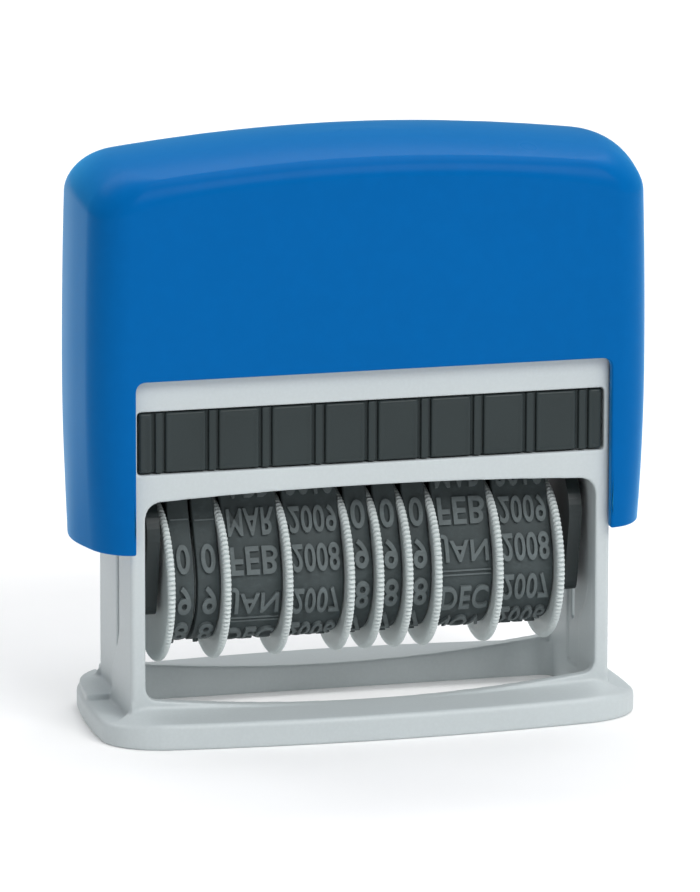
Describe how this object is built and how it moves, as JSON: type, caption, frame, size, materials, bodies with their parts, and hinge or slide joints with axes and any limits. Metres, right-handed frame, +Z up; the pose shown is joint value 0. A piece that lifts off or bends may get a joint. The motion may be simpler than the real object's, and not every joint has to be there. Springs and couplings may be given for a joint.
{
  "type": "self inking date stamp",
  "caption": "Self inking date stamp: a press cap turns a block of date bands from its ink pad down to the paper.",
  "frame": {"origin": "middle of the base's footprint, on the table that the stamp stands on", "axes": "+Z up, +X along the line of print, -Y towards the front with the ink pad's panels"},
  "size_m": [0.0744, 0.0364, 0.0768],
  "materials": {
    "cap_blue": "satin moulded plastic, soft sheen",
    "housing_grey": "light grey moulded plastic, satin",
    "carrier_dark": "anthracite moulded plastic",
    "pad_tray_dark": "anthracite moulded plastic, satin",
    "pad_felt": "ink soaked felt",
    "band_rubber": "matte grey rubber",
    "wheel_grey": "light grey moulded plastic",
    "steel": "bright drawn steel"
  },
  "bodies": {
    "frame": {"frame_housing": "housing_grey", "spring_left": "steel", "spring_right": "steel", "pad_tray": "pad_tray_dark", "pad_felt": "pad_felt"},
    "cap": {"press_cap": "cap_blue", "yoke": "carrier_dark", "pivot_pin_left": "steel", "pivot_pin_right": "steel"},
    "date_block": {"end_plate_left": "carrier_dark", "end_plate_right": "carrier_dark", "print_bridge": "carrier_dark", "wheel_axle": "steel", "date_band_1": "band_rubber", "date_band_2": "band_rubber", "date_band_3": "band_rubber", "date_band_4": "band_rubber", "date_band_5": "band_rubber", "date_band_6": "band_rubber", "date_band_7": "band_rubber", "date_band_8": "band_rubber", "date_band_9": "band_rubber"},
    "wheel_1": {"thumb_wheel_1": "wheel_grey"},
    "wheel_2": {"thumb_wheel_2": "wheel_grey"},
    "wheel_3": {"thumb_wheel_3": "wheel_grey"},
    "wheel_4": {"thumb_wheel_4": "wheel_grey"},
    "wheel_5": {"thumb_wheel_5": "wheel_grey"},
    "wheel_6": {"thumb_wheel_6": "wheel_grey"},
    "wheel_7": {"thumb_wheel_7": "wheel_grey"},
    "wheel_8": {"thumb_wheel_8": "wheel_grey"},
    "wheel_9": {"thumb_wheel_9": "wheel_grey"}
  },
  "joints": [
    {"name": "cap_press", "type": "slide", "parent": "frame", "child": "cap", "axis": [0, 0, -1], "range_m": [0, 0.0135], "stiffness_N_per_m": 800, "springref_m": -0.004, "deforming": ["spring_left", "spring_right"]},
    {"name": "block_flip", "type": "hinge", "parent": "cap", "child": "date_block", "pos_m": [0, 0, 0.0241], "axis": [1, 0, 0], "range_deg": [0, 180]},
    {"name": "wheel_1_turn", "type": "hinge", "parent": "date_block", "child": "wheel_1", "pos_m": [-0.0264, 0, 0.0189], "axis": [1, 0, 0], "continuous": true},
    {"name": "wheel_2_turn", "type": "hinge", "parent": "date_block", "child": "wheel_2", "pos_m": [-0.0188, 0, 0.0189], "axis": [1, 0, 0], "continuous": true},
    {"name": "wheel_3_turn", "type": "hinge", "parent": "date_block", "child": "wheel_3", "pos_m": [-0.0107, 0, 0.0189], "axis": [1, 0, 0], "continuous": true},
    {"name": "wheel_4_turn", "type": "hinge", "parent": "date_block", "child": "wheel_4", "pos_m": [-0.0025, 0, 0.0189], "axis": [1, 0, 0], "continuous": true},
    {"name": "wheel_5_turn", "type": "hinge", "parent": "date_block", "child": "wheel_5", "pos_m": [0.0014, 0, 0.0189], "axis": [1, 0, 0], "continuous": true},
    {"name": "wheel_6_turn", "type": "hinge", "parent": "date_block", "child": "wheel_6", "pos_m": [0.0053, 0, 0.0189], "axis": [1, 0, 0], "continuous": true},
    {"name": "wheel_7_turn", "type": "hinge", "parent": "date_block", "child": "wheel_7", "pos_m": [0.0091, 0, 0.0189], "axis": [1, 0, 0], "continuous": true},
    {"name": "wheel_8_turn", "type": "hinge", "parent": "date_block", "child": "wheel_8", "pos_m": [0.0173, 0, 0.0189], "axis": [1, 0, 0], "continuous": true},
    {"name": "wheel_9_turn", "type": "hinge", "parent": "date_block", "child": "wheel_9", "pos_m": [0.0255, 0, 0.0189], "axis": [1, 0, 0], "continuous": true}
  ],
  "couplings": [
    {"joint": "block_flip", "follows": "cap_press", "rad_per_m": 232.7}
  ]
}
